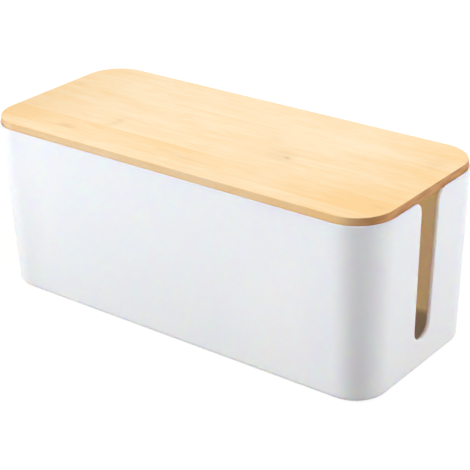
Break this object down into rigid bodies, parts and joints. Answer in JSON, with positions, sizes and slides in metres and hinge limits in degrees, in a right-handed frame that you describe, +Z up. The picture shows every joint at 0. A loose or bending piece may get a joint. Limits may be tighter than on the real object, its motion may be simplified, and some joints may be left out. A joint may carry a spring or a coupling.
{
  "type": "cable management box",
  "caption": "Long rounded plastic tub that hides a power strip, open at both ends by upright cable slots, with a lift-off bamboo lid seated in its rim.",
  "frame": {"origin": "middle of the box's plan, on the surface that the four pads stand on", "axes": "+X along the box towards its right end, +Y towards its back, +Z up"},
  "size_m": [0.32, 0.136, 0.128],
  "materials": {
    "tub_plastic": "white moulded plastic with a soft satin sheen",
    "bamboo": "sanded bamboo under a thin clear satin lacquer",
    "pad_rubber": "matt grey rubber"
  },
  "bodies": {
    "box": {"tub": "tub_plastic", "pad_front_left": "pad_rubber", "pad_front_right": "pad_rubber", "pad_back_left": "pad_rubber", "pad_back_right": "pad_rubber"},
    "lid": {"lid_strip_1": "bamboo", "lid_strip_2": "bamboo", "lid_strip_3": "bamboo", "lid_strip_4": "bamboo", "lid_strip_5": "bamboo", "lid_strip_6": "bamboo", "lid_strip_7": "bamboo"}
  },
  "joints": [
    {"name": "lid_lift", "type": "slide", "parent": "box", "child": "lid", "axis": [0, 0, 1], "range_m": [0, 0.15]}
  ]
}
